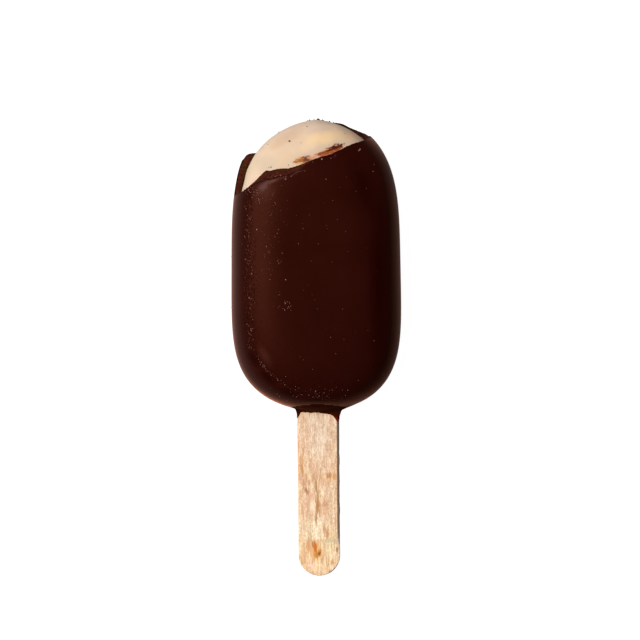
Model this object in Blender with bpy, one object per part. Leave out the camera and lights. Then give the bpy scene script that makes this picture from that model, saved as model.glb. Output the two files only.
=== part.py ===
"""Ice cream bar on a flat wooden stick, lying on its back.

The bar is a moulded core of vanilla ice cream inside a shell of dark chocolate. The shell is
broken away across the top, lowest at the front left, so the domed end of the ice cream shows.
X runs across the bar, Y runs along it from the stick to the broken end, and Z runs up through
its thickness. Lengths are in millimetres and are turned into metres when a mesh is made.
"""
import math
from collections import namedtuple

import bmesh
import bpy

MM = 0.001

# A moulded form: a rounded outline that leans a little to the right at its two ends, side walls
# that curve up from it, and a pillow face, flat in the middle, that falls away towards them.
Form = namedtuple("Form", "half_width top foot side_run side_rise half_depth face_run face_fall "
                          "top_power foot_power top_width_power top_lean foot_lean")

SHELL = Form(half_width=22.4, top=40.0, foot=38.5, side_run=9.5, side_rise=13.2,
             half_depth=12.5, face_run=14.0, face_fall=3.2,
             top_power=3.78, foot_power=4.45, top_width_power=2.0, top_lean=0.0, foot_lean=0.6)
CORE = Form(half_width=20.4, top=38.6, foot=36.2, side_run=8.9, side_rise=11.6,
            half_depth=10.8, face_run=12.0, face_fall=3.0,
            top_power=4.4, foot_power=4.45, top_width_power=1.6, top_lean=0.7, foot_lean=0.6)
FOOT_WIDTH_POWER = 2.0
LEAN_POWER = 6
TAPER = 0.019
FACE_EDGE_BLEND = 1.4
BACK_FLAT = 12.2

# Clearance left between pieces that touch.
GAP = 0.3

# The wooden stick, pushed into the middle of the ice cream.
STICK_WIDTH = 11.0
STICK_DEPTH = 2.0
STICK_LENGTH = 93.0
STICK_TIP = 82.1
STICK_EDGE_ROUND = 0.45
STICK_OFFSET = 0.23

# The sleeve of chocolate that ran down onto the stick.
SLEEVE_HALF_WIDTH = 6.0
SLEEVE_HALF_DEPTH = 1.65
SLEEVE_FLARE = 0.2
SLEEVE_CORNER = 0.8
SLEEVE_FILLET = 2.8
SLEEVE_END = 39.3
SLEEVE_DRIP = 1.4
SLEEVE_LENGTH = 3.5
SLEEVE_TOP = 37.3
BODY_FOOT = 36.7

# Corners of the break in the shell, from left to right: across the front, and across the back.
FRONT_BREAK = ((-22.0, 18.2), (-17.0, 21.0), (-13.2, 24.4), (-5.2, 25.2), (1.3, 27.7),
               (11.8, 32.0), (15.5, 34.2), (22.0, 36.0))
BACK_BREAK = ((-22.0, 26.0), (-19.1, 28.9), (-18.1, 30.0), (-15.8, 30.5), (-8.0, 34.0),
              (0.0, 36.9), (5.3, 38.0), (9.3, 36.9), (15.5, 33.8), (22.0, 31.0))
BREAK_START = 12.0
CHIP_LEFT = -16.5
CHIP_RIGHT = -0.5
CHIP_DEPTH = 1.9
CHIP_ROUNDNESS = 0.6

# How finely the round forms are divided, and how closely the break is searched for.
COLUMNS = 56
BREAK_STEPS = 5
SLEEVE_ROWS = 5
OUTER_ROWS = 13
INNER_ROWS = 12
BROKEN_ROWS = 9
DOME_ROWS = 12
FOOT_ARC = math.radians(84.0)
SEARCH_RADIUS = 32.0
SEARCH_STEPS = 40
BREAK_SEARCH_STEP = 0.2

# The bar lies with its back flat on the ground and its whole length centred on the origin.
BAR_CENTRE_Y = (STICK_TIP - CORE.top) / 2.0
BAR_CENTRE_Z = BACK_FLAT

CHOCOLATE = (0.028, 0.0048, 0.0024)
VANILLA = (0.800, 0.584, 0.386)
BIRCH = (0.799, 0.558, 0.376)


def smooth_max(a, b, blend):
    """The larger of two values, rounded over where they are close."""
    overlap = max(blend - abs(a - b), 0.0) / blend
    return max(a, b) + overlap * overlap * blend / 4.0


def smooth_min(a, b, blend):
    """The smaller of two values, rounded over where they are close."""
    return -smooth_max(-a, -b, blend)


def along(points, x):
    """Height of a line through the given corner points at position x."""
    for (x0, y0), (x1, y1) in zip(points, points[1:]):
        if x <= x1:
            return y0 + (y1 - y0) * max((x - x0) / (x1 - x0), 0.0)
    return points[-1][1]


def edge_distance(form, x, y, grow):
    """How far a point of the plan lies inside the outline of a form."""
    length = (form.top if y > 0.0 else form.foot) + grow
    power = form.top_power if y > 0.0 else form.foot_power
    width_power = form.top_width_power if y > 0.0 else FOOT_WIDTH_POWER
    width = (form.half_width + grow) * (1.0 - TAPER * y / length)
    up = min(abs(y) / length, 1.0)
    x -= (form.top_lean if y > 0.0 else form.foot_lean) * up ** LEAN_POWER
    across = min(abs(x) / width, 1.0)
    run = width * (1.0 - up ** power) ** (1.0 / width_power) - abs(x)
    rise = length * (1.0 - across ** width_power) ** (1.0 / power) - abs(y)
    if run <= 0.0 or rise <= 0.0:
        return min(run, rise)
    return run * rise / math.hypot(run, rise)


def form_level(form, x, y, z, grow=0.0):
    """Signed level of a moulded form, negative inside it."""
    side_run = form.side_run + grow
    side_rise = form.side_rise + grow
    inset = edge_distance(form, x, y, grow)
    reach = max(side_run - inset, 0.0)
    ratio = math.hypot(reach / side_run, z / side_rise)
    slope = math.hypot(reach / side_run ** 2, z / side_rise ** 2)
    side = ratio * (ratio - 1.0) / slope if slope > 0.0 else -side_rise
    fall = form.face_fall * (max(form.face_run + grow - inset, 0.0) / form.face_run) ** 2
    face = abs(z) - (form.half_depth + grow - fall)
    return smooth_max(side, face, FACE_EDGE_BLEND)


def bar_level(x, z, half_width, half_depth, corner):
    """Signed level of a long bar with rounded corners that runs along the stick."""
    over_x = abs(x) - (half_width - corner)
    over_z = abs(z) - (half_depth - corner)
    outside = math.hypot(max(over_x, 0.0), max(over_z, 0.0))
    return outside + min(max(over_x, over_z), 0.0) - corner


def shell_level(x, y, z):
    """Outside of the chocolate: the moulded form, its sleeve and the flat it rests on."""
    body = form_level(SHELL, x, y, z)
    if y < 0.0:
        flare = SLEEVE_FLARE * min(max(y + SLEEVE_END + SLEEVE_DRIP, 0.0), SLEEVE_LENGTH)
        sleeve = bar_level(x - STICK_OFFSET, z, SLEEVE_HALF_WIDTH + flare,
                           SLEEVE_HALF_DEPTH + flare, SLEEVE_CORNER)
        body = smooth_min(body, sleeve, SLEEVE_FILLET)
    return max(body, -z - BACK_FLAT)


def slot_level(x, y, z):
    """The slot that the stick passes through."""
    return bar_level(x - STICK_OFFSET, z, STICK_WIDTH / 2.0 + GAP, STICK_DEPTH / 2.0 + GAP,
                     STICK_EDGE_ROUND)


def cavity_level(x, y, z):
    """Inside of the chocolate: room for the ice cream, and the slot below it."""
    room = form_level(CORE, x, y, z, GAP)
    return min(room, slot_level(x, y, z)) if y < 0.0 else room


def core_level(x, y, z):
    """Outside of the ice cream."""
    return form_level(CORE, x, y, z)


def surface_point(level, y, angle):
    """Point where a ray from the long axis, at height y, leaves the given form."""
    across = math.cos(angle)
    up = math.sin(angle)
    inside = 0.0
    outside = SEARCH_RADIUS
    for _ in range(SEARCH_STEPS):
        middle = (inside + outside) / 2.0
        if level(middle * across, y, middle * up) < 0.0:
            inside = middle
        else:
            outside = middle
    return (inside * across, y, inside * up)


def column_angles():
    """Angles round the long axis, closest together at the two narrow sides."""
    angles = []
    for index in range(COLUMNS):
        turn = 2.0 * math.pi * index / COLUMNS
        angle = math.atan2(SHELL.half_depth * math.sin(turn), SHELL.half_width * math.cos(turn))
        angles.append(angle if index <= COLUMNS // 2 else angle + 2.0 * math.pi)
    return angles


def break_height(level, angle, line, chipped):
    """Height at which a column of the shell meets the break."""
    y = BREAK_START
    while y < SHELL.foot:
        x = surface_point(level, y, angle)[0]
        if y >= along(line, x) - (chip_depth(x) if chipped else 0.0):
            break
        y += BREAK_SEARCH_STEP
    return y


def chip_depth(x):
    """How much lower the outer edge of the front break lies, where a flake has gone."""
    if not CHIP_LEFT < x < CHIP_RIGHT:
        return 0.0
    share = (x - CHIP_LEFT) / (CHIP_RIGHT - CHIP_LEFT)
    return CHIP_DEPTH * math.sin(math.pi * share) ** CHIP_ROUNDNESS


def shell_columns():
    """Angle and break heights, outside and inside, of every column of the shell."""
    columns = []
    last_front = COLUMNS // 2 - 1
    for index, angle in enumerate(column_angles()):
        front = 0 < index <= last_front
        line = FRONT_BREAK if front else BACK_BREAK
        outer = break_height(shell_level, angle, line, front)
        inner = break_height(cavity_level, angle, line, False)
        if not front:
            inner = min(inner, outer)
        columns.append((angle, outer, inner))
    before = columns[last_front]
    after = columns[last_front + 1]
    steps = []
    for index in range(1, BREAK_STEPS + 1):
        share = index / (BREAK_STEPS + 1)
        steps.append(tuple(a + (b - a) * share for a, b in zip(before, after)))
    return columns[:last_front + 1] + steps + columns[last_front + 1:]


def broken_shares():
    """Shares of the way up to the break, closest together towards it."""
    return [math.sin(math.pi / 2.0 * row / BROKEN_ROWS) for row in range(1, BROKEN_ROWS + 1)]


def sleeve_edge(angle):
    """Height of the lower edge of the sleeve, which drips down the stick's two sides."""
    x = surface_point(slot_level, -SLEEVE_END, angle)[0] - STICK_OFFSET
    return -SLEEVE_END - SLEEVE_DRIP * (abs(x) / SLEEVE_HALF_WIDTH) ** 5


def body_heights(foot, rows, top):
    """Heights of the rows of a form, closest together where its foot rounds over."""
    heights = []
    for index in range(rows):
        turn = FOOT_ARC * (1.0 - index / (rows - 1))
        heights.append(top - (top + foot) * math.sin(turn) / math.sin(FOOT_ARC))
    return heights


def skin(name, rings, closed, ends=()):
    """Mesh through rings of points, joined end to end or closed by a point at each end."""
    mesh = bmesh.new()
    rows = [[mesh.verts.new([c * MM for c in point]) for point in ring] for ring in rings]
    count = len(rows[0])
    pairs = list(zip(rows, rows[1:]))
    if closed:
        pairs.append((rows[-1], rows[0]))
    for lower, upper in pairs:
        for index in range(count):
            after = (index + 1) % count
            mesh.faces.new((lower[index], lower[after], upper[after], upper[index]))
    for row, end in zip((rows[0], rows[-1]), ends):
        tip = mesh.verts.new([c * MM for c in end])
        for index in range(count):
            mesh.faces.new((row[index], row[(index + 1) % count], tip))
    bmesh.ops.recalc_face_normals(mesh, faces=mesh.faces)
    data = bpy.data.meshes.new(name)
    mesh.to_mesh(data)
    mesh.free()
    piece = bpy.data.objects.new(name, data)
    bpy.context.scene.collection.objects.link(piece)
    return piece


def finish(piece, colour, roughness, location, smooth_angle=40.0):
    """Give a piece its place, its shading and its material."""
    piece.location = [c * MM for c in location]
    bpy.ops.object.select_all(action="DESELECT")
    piece.select_set(True)
    bpy.context.view_layer.objects.active = piece
    bpy.ops.object.shade_smooth_by_angle(angle=math.radians(smooth_angle))
    material = bpy.data.materials.new(piece.name)
    material.use_nodes = True
    surface = material.node_tree.nodes["Principled BSDF"]
    surface.inputs["Base Color"].default_value = (*colour, 1.0)
    surface.inputs["Roughness"].default_value = roughness
    surface.inputs["Metallic"].default_value = 0.0
    piece.data.materials.append(material)


def chocolate_coating():
    """Chocolate shell: up the outside to the break, over it, and down the inside to the slot."""
    columns = shell_columns()
    rings = []
    for row in range(SLEEVE_ROWS + 1):
        share = row / SLEEVE_ROWS
        rings.append([surface_point(shell_level, sleeve_edge(angle) * (1.0 - share)
                                    - SLEEVE_TOP * share, angle) for angle, _, _ in columns])
    for y in body_heights(BODY_FOOT, OUTER_ROWS, BREAK_START):
        rings.append([surface_point(shell_level, y, angle) for angle, _, _ in columns])
    for share in broken_shares():
        rings.append([surface_point(shell_level, BREAK_START + (outer - BREAK_START) * share, angle)
                      for angle, outer, _ in columns])
    for share in reversed(broken_shares()):
        rings.append([surface_point(cavity_level, BREAK_START + (inner - BREAK_START) * share, angle)
                      for angle, _, inner in columns])
    for y in reversed(body_heights(CORE.foot + GAP, INNER_ROWS, BREAK_START)):
        rings.append([surface_point(cavity_level, y, angle) for angle, _, _ in columns])
    rings.append([surface_point(cavity_level, sleeve_edge(angle), angle) for angle, _, _ in columns])
    piece = skin("chocolate_coating", rings, closed=True)
    finish(piece, CHOCOLATE, 0.35, (0.0, BAR_CENTRE_Y, BAR_CENTRE_Z))


def ice_cream():
    """Ice cream core: a domed form with a blind slot that the stick fills."""
    angles = column_angles()
    slot_top = STICK_LENGTH - STICK_TIP + GAP
    heights = body_heights(CORE.foot, INNER_ROWS, BREAK_START)
    rings = [[surface_point(slot_level, y, angle) for angle in angles]
             for y in (slot_top, heights[0])]
    for row in range(1, DOME_ROWS):
        turn = math.pi / 2.0 * row / DOME_ROWS
        heights.append(BREAK_START + (CORE.top - BREAK_START) * math.sin(turn))
    for y in heights[1:]:
        rings.append([surface_point(core_level, y, angle) for angle in angles])
    ends = ((STICK_OFFSET, slot_top, 0.0), (CORE.top_lean, CORE.top, 0.0))
    piece = skin("ice_cream", rings, closed=False, ends=ends)
    finish(piece, VANILLA, 0.6, (0.0, BAR_CENTRE_Y, BAR_CENTRE_Z))


def stick_outline(inset):
    """Outline of the stick in plan: two long sides and two half-round ends."""
    radius = STICK_WIDTH / 2.0 - inset
    straight = STICK_LENGTH / 2.0 - STICK_WIDTH / 2.0
    arc_steps = 14
    points = []
    for end in (1.0, -1.0):
        for index in range(arc_steps + 1):
            turn = math.pi * index / arc_steps + (0.0 if end > 0.0 else math.pi)
            points.append((radius * math.cos(turn), end * straight + radius * math.sin(turn)))
    return points


def stick():
    """Flat stick with round ends and softened edges."""
    half = STICK_DEPTH / 2.0
    soft = STICK_EDGE_ROUND
    steps = 3
    levels = []
    for index in range(steps + 1):
        turn = math.pi / 2.0 * index / steps
        levels.append((-half + soft - soft * math.cos(turn), soft - soft * math.sin(turn)))
    levels += [(-height, inset) for height, inset in reversed(levels)]
    rings = [[(x, y, height) for x, y in stick_outline(inset)] for height, inset in levels]
    ends = ((0.0, 0.0, -half), (0.0, 0.0, half))
    piece = skin("stick", rings, closed=False, ends=ends)
    middle = BAR_CENTRE_Y - STICK_TIP + STICK_LENGTH / 2.0
    finish(piece, BIRCH, 0.7, (STICK_OFFSET, middle, BAR_CENTRE_Z), smooth_angle=50.0)


for leftover in list(bpy.data.objects):
    bpy.data.objects.remove(leftover, do_unlink=True)

chocolate_coating()
ice_cream()
stick()
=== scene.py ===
"""An ice cream bar on a birch stick, dressed over its CAD solids.

The sections follow the making of a real bar: the stick is stamped, the ice cream is moulded on
it, the bar is dipped in chocolate, and the chocolate is cracked off its top. Sizes are in mm.
Places are counted from the middle of the bar's body, x to its right, y to its top, z to its face.
"""
import math

import bpy
import numpy as np
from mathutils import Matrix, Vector, noise


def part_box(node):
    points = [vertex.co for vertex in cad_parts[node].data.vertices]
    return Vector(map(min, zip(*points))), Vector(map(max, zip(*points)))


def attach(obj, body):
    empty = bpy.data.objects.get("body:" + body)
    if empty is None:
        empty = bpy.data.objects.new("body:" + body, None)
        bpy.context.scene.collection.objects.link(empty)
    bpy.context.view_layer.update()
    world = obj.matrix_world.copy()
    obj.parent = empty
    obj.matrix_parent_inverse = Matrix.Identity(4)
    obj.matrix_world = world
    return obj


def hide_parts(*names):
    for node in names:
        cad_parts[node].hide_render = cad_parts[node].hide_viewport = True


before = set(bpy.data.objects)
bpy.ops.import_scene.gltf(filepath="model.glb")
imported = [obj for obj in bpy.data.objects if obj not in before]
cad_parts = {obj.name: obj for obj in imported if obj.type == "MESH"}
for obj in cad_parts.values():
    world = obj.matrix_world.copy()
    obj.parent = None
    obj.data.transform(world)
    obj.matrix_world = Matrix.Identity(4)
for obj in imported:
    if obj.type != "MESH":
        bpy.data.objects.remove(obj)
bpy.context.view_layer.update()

MM = 0.001


# The stick: birch veneer 2 mm thick, stamped to shape with two round ends and tumbled until its
# edges are soft. The stamp crushed its right edge, which slopes away and came out wavy.
stick_low, stick_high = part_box("stick")
STICK_RADIUS = (stick_high[0] - stick_low[0]) / MM / 2.0
STICK_DEPTH = (stick_high[2] - stick_low[2]) / MM
STICK_SOFT_EDGE = 0.3
STICK_SOFT_STEPS = 4
STICK_SECTIONS = 64
STICK_END_SIDES = 96
STICK_SWELL = 0.12
CRUSHED_EDGE = 0.68
CRUSHED_DROP = 1.0
CRUSHED_FROM = 2.2
CRUSHED_FADE = 2.5
EDGE_WAVE = 0.13
EDGE_WAVE_LENGTH = 2.6
EDGE_POWER = 8
SPLINTER_TURN = -51.0
SPLINTER_SPAN = 10.0
SPLINTER_REACH = 0.42
STICK_CORNERS = 50.0
STICK_CREASE = 32.0

bpy.ops.object.select_all(action="DESELECT")
stick_x = (stick_low[0] + stick_high[0]) / 2.0
stick_z = (stick_low[2] + stick_high[2]) / 2.0
upper_end = stick_high[1] - STICK_RADIUS * MM
lower_end = stick_low[1] + STICK_RADIUS * MM
bpy.ops.mesh.primitive_cylinder_add(vertices=STICK_END_SIDES, radius=STICK_RADIUS * MM,
                                    depth=STICK_DEPTH * MM, location=(stick_x, upper_end, stick_z))
stick = bpy.context.object
stick.name = "birch_stick"
bpy.ops.object.transform_apply(location=True, rotation=True, scale=True)
bpy.ops.object.mode_set(mode="EDIT")
bpy.ops.mesh.select_all(action="DESELECT")
bpy.ops.object.mode_set(mode="OBJECT")
for point in stick.data.vertices:
    point.select = point.co.y < upper_end - 0.01 * MM
bpy.ops.object.mode_set(mode="EDIT")
bpy.ops.transform.translate(value=(0.0, lower_end - upper_end, 0.0))
bpy.ops.mesh.select_all(action="DESELECT")
bpy.ops.object.mode_set(mode="OBJECT")
for face in stick.data.polygons:
    face.select = face.normal.z > 0.9
bpy.ops.object.mode_set(mode="EDIT")
bpy.ops.mesh.inset(thickness=CRUSHED_EDGE * MM)
for section in range(1, STICK_SECTIONS):
    across = upper_end + (lower_end - upper_end) * section / STICK_SECTIONS
    bpy.ops.mesh.select_all(action="SELECT")
    bpy.ops.mesh.bisect(plane_co=(0.0, across, 0.0), plane_no=(0.0, 1.0, 0.0))
bpy.ops.object.mode_set(mode="OBJECT")
rounding = stick.modifiers.new("tumbled edges", "BEVEL")
rounding.width = STICK_SOFT_EDGE * MM
rounding.segments = STICK_SOFT_STEPS
rounding.angle_limit = math.radians(STICK_CORNERS)
bpy.ops.object.modifier_apply(modifier=rounding.name)
for point in stick.data.vertices:
    side = (point.co.x - stick_x) / (STICK_RADIUS * MM)
    beyond_end = min(point.co.y - lower_end, 0.0)
    inset = STICK_RADIUS - math.hypot(point.co.x - stick_x, beyond_end) / MM
    faded = min(max((point.co.y - lower_end) / MM - CRUSHED_FROM, 0.0) / CRUSHED_FADE, 1.0)
    crushed = max(1.0 - max(inset, 0.0) / CRUSHED_EDGE, 0.0) * max(side, 0.0) ** 2 * faded
    if point.co.z > stick_z:
        point.co.z -= CRUSHED_DROP * crushed * MM
    turn = math.degrees(math.atan2(beyond_end, point.co.x - stick_x))
    splinter = math.exp(-((turn - SPLINTER_TURN) / SPLINTER_SPAN) ** 2) * SPLINTER_REACH
    along = point.co.y / MM / EDGE_WAVE_LENGTH
    wave = EDGE_WAVE * noise.noise(Vector((round(side) * 9.0, along, 3.0))) * (1.0 + side) / 2.0
    swell = STICK_SWELL * (point.co.y - lower_end) / (upper_end - lower_end)
    edge_share = min(max(abs(side), -beyond_end / (STICK_RADIUS * MM)), 1.0) ** EDGE_POWER
    point.co.x += (side * swell + (wave + splinter * side) * edge_share) * MM
bpy.ops.object.shade_smooth_by_angle(angle=math.radians(STICK_CREASE))

# Birch, rotary cut and lightly sanded: cream with a coarse pore pattern drawn out along the
# grain, pinkish patches, brown flecks, a knot near the tip, and a dry surface that scatters
# light. Real pores are finer than this; they are drawn as coarse as they need to be to show.
WOOD_PATTERNS = {"pores": ((0.28, 0.65), 1.0), "fibres": ((0.42, 2.8), 2.0),
                 "streaks": ((0.9, 6.0), 3.0), "blotches": ((1.5, 3.6), 2.0),
                 "patches": ((3.2, 8.0), 2.0)}
BARE_WOOD = "#e8c19c"
WOOD_PATCHES = (0.42, 0.66, "#e5b78f", 0.5)
WOOD_BLOTCHES = ((0.5, 0.66, "#d2a88c", 0.5), (0.5, 0.34, "#f6dec4", 0.5))
WOOD_FIBRES = (("fibres", 0.5, 0.68, "#cb9a72", 0.55), ("fibres", 0.44, 0.3, "#ffeec9", 0.5),
               ("streaks", 0.56, 0.7, "#bb8656", 0.5))
IN_A_PORE = (0.82, 0.74, 0.64, 1.0)
BESIDE_A_PORE = (1.16, 1.24, 1.34, 1.0)
WOOD_TINTS = (
    ((0.2, -45.0), (6.5, 11.0), 0.0, "#e8d0b8", 0.9),
    ((-3.6, -46.5), (2.2, 6.0), 0.0, "#eec3a2", 0.6),
    ((1.8, -52.5), (3.4, 4.5), 0.0, "#eccaae", 0.6),
    ((-4.2, -52.5), (1.6, 5.5), 0.0, "#d79a62", 0.65),
    ((2.8, -61.0), (2.6, 7.0), 0.0, "#d4b48e", 0.6),
    ((-2.6, -63.5), (2.2, 6.5), 0.0, "#e6b794", 0.6),
    ((3.4, -67.0), (2.0, 3.6), 0.0, "#e2bd96", 0.5),
    ((-0.9, -70.0), (5.0, 5.6), 0.0, "#fff2cc", 1.0),
    ((3.0, -73.6), (3.2, 6.0), 0.0, "#ffecb8", 1.0),
    ((-3.2, -75.5), (2.0, 4.6), 0.0, "#f4c088", 0.7),
    ((-4.4, -74.0), (1.4, 7.0), 0.0, "#edbd84", 0.6),
    ((0.6, -79.2), (6.4, 4.0), 0.0, "#ffdaa4", 1.0),
    ((-1.9, -79.6), (1.7, 2.6), 0.0, "#ffd0b4", 0.9),
)
WOOD_STAINS_AND_SHADE = (
    ((3.35, -55.7), (2.2, 1.3), 0.0, "#cf9254", 0.85),
    ((2.9, -55.5), (0.6, 1.3), 0.0, "#aa6e40", 0.5),
    ((-3.2, -59.5), (1.0, 2.1), 6.0, "#b07444", 0.8),
    ((-3.3, -57.4), (2.0, 1.2), 0.0, "#c0936a", 0.5),
    ((-0.38, -58.2), (0.6, 2.2), 0.0, "#ae8250", 0.65),
    ((-0.15, -62.6), (0.7, 7.4), -2.0, "#b07c46", 0.85),
    ((-0.5, -66.6), (0.5, 2.8), 0.0, "#b98a62", 0.8),
    ((1.57, -63.1), (1.3, 0.8), 0.0, "#cc8a68", 0.6),
    ((1.2, -60.2), (0.6, 1.4), 0.0, "#fff0cc", 0.8),
    ((-1.6, -63.6), (0.7, 2.4), 0.0, "#ffeccc", 0.7),
    ((-3.5, -54.3), (0.9, 3.4), 0.0, "#bf8648", 0.75),
    ((-4.2, -49.4), (0.7, 2.4), 0.0, "#c58f5c", 0.6),
    ((-5.2, -49.0), (0.7, 7.0), 0.0, "#d4946a", 0.6),
    ((-2.85, -59.6), (0.5, 1.0), 10.0, "#82502c", 0.85),
    ((2.05, -70.4), (0.9, 2.6), 10.0, "#c3865c", 0.8),
    ((-2.5, -74.9), (0.9, 3.2), 4.0, "#cc9252", 0.8),
    ((-0.9, -77.3), (0.5, 1.4), 0.0, "#c08840", 0.7),
    ((3.6, -78.6), (0.45, 1.3), 0.0, "#b07a44", 0.8),
    ((1.0, -77.8), (0.4, 1.6), 0.0, "#c49258", 0.7),
    ((-4.7, -79.0), (1.0, 2.6), -20.0, "#bf925a", 0.7),
    ((4.9, -75.2), (0.5, 0.9), 0.0, "#8c4a2c", 0.7),
    # A grey green patch at the tip's right corner: painted shade.
    ((3.3, -81.0), (1.25, 0.9), 38.0, "#73766a", 1.0),
)
KNOT = (
    ((-0.6, -75.0), (2.6, 3.8), 4.0, "#efbb80", 0.7),
    ((-1.7, -74.8), (0.6, 2.0), 4.0, "#e8a878", 0.5),
    ((-0.4, -75.6), (1.3, 2.5), 4.0, "#dc9c4e", 0.85),
    ((-0.85, -74.6), (0.6, 2.3), 5.0, "#cf6c2c", 0.9),
    ((0.3, -75.9), (0.7, 1.6), -12.0, "#ba7630", 0.85),
    ((-0.5, -76.7), (0.9, 1.2), 10.0, "#c58634", 0.85),
    ((-1.5, -73.9), (0.3, 1.3), 4.0, "#a05c28", 0.7),
    ((0.2, -76.2), (0.4, 0.9), -25.0, "#84501f", 0.85),
    ((-0.1, -74.7), (0.35, 1.2), -10.0, "#f0c07c", 0.7),
)
TINT_DEPTH = 9.0
STAIN_DEPTH = 2.0
KNOT_DEPTH = 6.0
# Colour of the crushed right edge: partly crushed fibres, partly painted shade.
CRUSHED_WOOD_AND_SHADE = "#dcbca6"
CRUSHED_SIDE = (0.62, 0.86)
CRUSHED_BORDER = (0.2, 0.5)
CRUSHED_RAGGED = 0.5
BAR_TOP = 38.6
BAR_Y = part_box("ice_cream")[1][1] / MM - BAR_TOP
BAR_Z = stick_z / MM


def srgb(code):
    """A hex colour as linear red, green, blue and alpha."""
    channels = [int(code[i:i + 2], 16) / 255.0 for i in (1, 3, 5)]
    linear = [c / 12.92 if c <= 0.04045 else ((c + 0.055) / 1.055) ** 2.4 for c in channels]
    return (*linear, 1.0)


def add_node(tree, kind, settings=None, links=None):
    """Adds a node, sets its properties or inputs, and links its other inputs."""
    made = tree.nodes.new(kind)
    for name, value in (settings or {}).items():
        if isinstance(name, str) and hasattr(made, name):
            setattr(made, name, value)
        else:
            made.inputs[name].default_value = value
    for name, socket in (links or {}).items():
        tree.links.new(socket, made.inputs[name])
    return made


def new_finish(piece, name, values):
    """Puts a new material on a piece, with the plain values of its surface set."""
    finish = bpy.data.materials.new(name)
    finish.use_nodes = True
    piece.data.materials.append(finish)
    surface = finish.node_tree.nodes["Principled BSDF"]
    for socket, value in values.items():
        surface.inputs[socket].default_value = value
    return finish.node_tree, surface


def tinted(tree, base, pattern, low, high, tint, strength=1.0, soft=False):
    """Lays a tint over a base as a pattern goes from low to high. Both are hex codes or sockets."""
    share = add_node(tree, "ShaderNodeMapRange",
                     {"From Min": low, "From Max": high, "To Max": strength,
                      "interpolation_type": "SMOOTHSTEP" if soft else "LINEAR"}, {"Value": pattern})
    settings = {"data_type": "RGBA"}
    links = {"Factor": share.outputs["Result"]}
    for place, colour in ((6, base), (7, tint)):
        if isinstance(colour, str):
            settings[place] = srgb(colour)
        else:
            links[place] = colour
    return add_node(tree, "ShaderNodeMix", settings, links).outputs[2]


def stained(tree, base, position, ragged, stains, height, depth, edge=(1.8, 0.2, -0.5)):
    """Lays stains over a colour, each with its place, half size, turn, colour and strength.

    They are widest at the height given and end at the depth above and below it. The edge says how
    far the ragged pattern eats into a stain, and where the stain starts and is full.
    """
    eaten_by, starts, full = edge
    for (x, y), (half_width, half_length), turn, colour, strength in stains:
        place = add_node(tree, "ShaderNodeMapping",
                         {"vector_type": "TEXTURE",
                          "Location": (x * MM, (y + BAR_Y) * MM, height * MM),
                          "Rotation": (0.0, 0.0, math.radians(turn)),
                          "Scale": (half_width * MM, half_length * MM, depth * MM)},
                         {"Vector": position})
        distance = add_node(tree, "ShaderNodeVectorMath", {"operation": "LENGTH"},
                            {0: place.outputs["Vector"]})
        eaten = add_node(tree, "ShaderNodeMath", {"operation": "MULTIPLY_ADD", 1: -eaten_by},
                         {0: ragged, 2: distance.outputs["Value"]})
        base = tinted(tree, base, eaten.outputs["Value"], starts, full, colour, strength, soft=True)
    return base


wood, wood_surface = new_finish(
    stick, "sanded_birch", {"Roughness": 0.75, "IOR": 1.45, "Specular IOR Level": 0.25})
wood_place = add_node(wood, "ShaderNodeTexCoord").outputs["Object"]
grain = {}
for name, ((across, along), detail) in WOOD_PATTERNS.items():
    spacing = add_node(wood, "ShaderNodeMapping",
                       {"Scale": (1.0 / across / MM, 1.0 / along / MM, 1.0 / across / MM)},
                       {"Vector": wood_place})
    pattern = add_node(wood, "ShaderNodeTexNoise", {"Scale": 1.0, "Detail": detail, "Roughness": 0.55},
                       {"Vector": spacing.outputs["Vector"]})
    grain[name] = pattern.outputs["Fac"]
wood_colour = tinted(wood, BARE_WOOD, grain["patches"], *WOOD_PATCHES)
wood_colour = stained(wood, wood_colour, wood_place, grain["streaks"], WOOD_TINTS, BAR_Z, TINT_DEPTH,
                      edge=(0.8, 0.7, -0.5))
for blotch in WOOD_BLOTCHES:
    wood_colour = tinted(wood, wood_colour, grain["blotches"], *blotch)
pore_tone = add_node(wood, "ShaderNodeMapRange", {"From Min": 0.28, "From Max": 0.72},
                     {"Value": grain["pores"]})
pore_shade = add_node(wood, "ShaderNodeMix", {"data_type": "RGBA", 6: IN_A_PORE, 7: BESIDE_A_PORE},
                      {"Factor": pore_tone.outputs["Result"]})
pored = add_node(wood, "ShaderNodeMix",
                 {"data_type": "RGBA", "blend_type": "MULTIPLY", "clamp_result": True, "Factor": 1.0},
                 {6: wood_colour, 7: pore_shade.outputs[2]})
wood_colour = pored.outputs[2]
for name, *fibre in WOOD_FIBRES:
    wood_colour = tinted(wood, wood_colour, grain[name], *fibre)
wood_colour = stained(wood, wood_colour, wood_place, grain["fibres"], WOOD_STAINS_AND_SHADE, BAR_Z, STAIN_DEPTH)
wood_colour = stained(wood, wood_colour, wood_place, grain["fibres"], KNOT, BAR_Z, KNOT_DEPTH,
                      edge=(0.9, 0.45, 0.0))

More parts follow.
